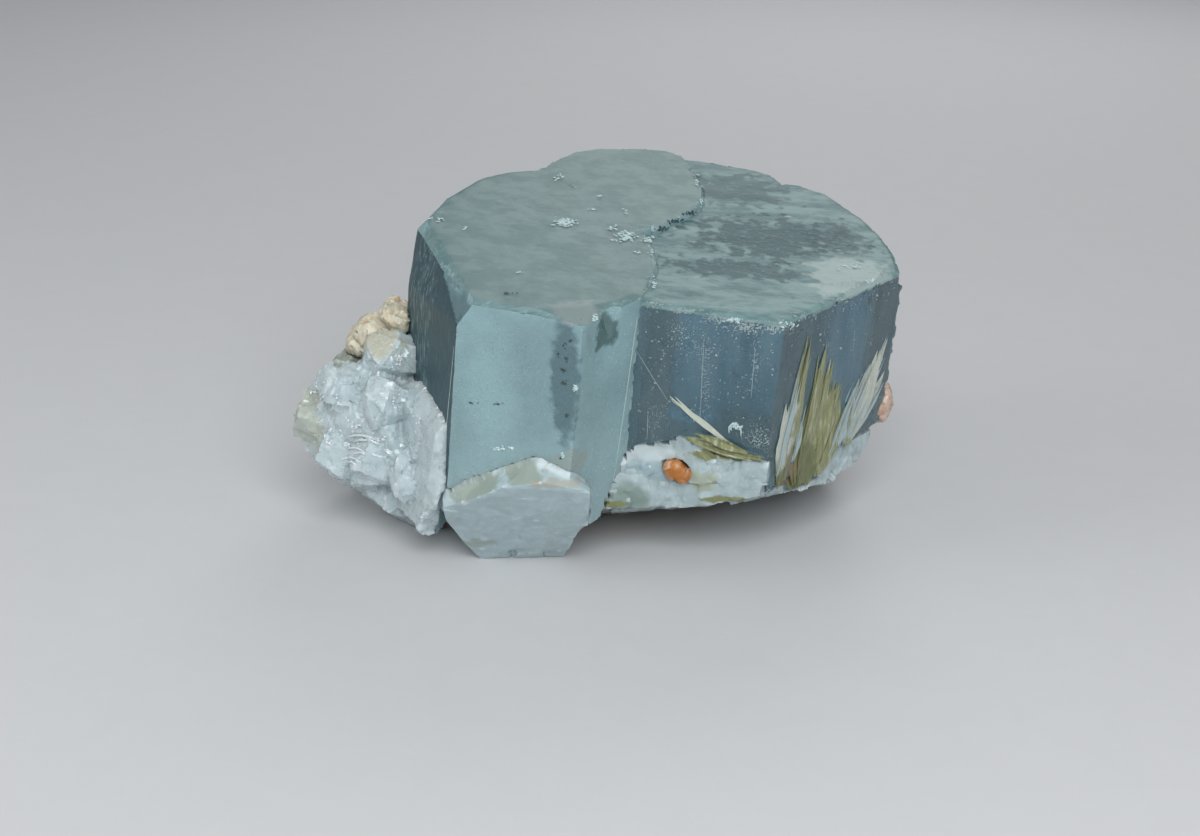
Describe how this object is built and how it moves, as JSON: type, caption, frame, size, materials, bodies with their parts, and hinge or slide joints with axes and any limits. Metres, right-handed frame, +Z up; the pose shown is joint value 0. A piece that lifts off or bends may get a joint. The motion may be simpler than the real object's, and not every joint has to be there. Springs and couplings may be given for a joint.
{
  "type": "aquamarine crystal specimen",
  "caption": "Stubby six-sided pale blue-green crystal of joined lobes, standing on broken milky quartz and pale matrix, with olive mica blades in one face.",
  "frame": {"origin": "middle of the specimen's box, on the floor that it rests on", "axes": "+X to the right along the front, +Y away from the front, +Z up; the crystal's own long axis leans about 7 degrees forward and 4 degrees right of +Z"},
  "size_m": [0.0474, 0.039, 0.0261],
  "materials": {
    "aquamarine": "natural crystal faces, milky at the left and clear at the right, matte and etched on top",
    "milky_quartz": "broken, translucent, vitreous",
    "pale_block": "cleaved, waxy, translucent",
    "matrix": "broken, dull, stained brown below",
    "cream_feldspar": "granular, dull",
    "orange_stone": "iron stained, waxy",
    "mica": "flaky, pearly"
  },
  "bodies": {
    "root": {"aquamarine": "aquamarine", "quartz_mass": "milky_quartz", "front_block": "pale_block", "base_matrix": "matrix", "feldspar_rim": "cream_feldspar", "feldspar_grain": "cream_feldspar", "orange_grain": "orange_stone", "mica_left": "mica", "mica_middle": "mica", "mica_right": "mica", "mica_streak": "mica"}
  },
  "joints": []
}
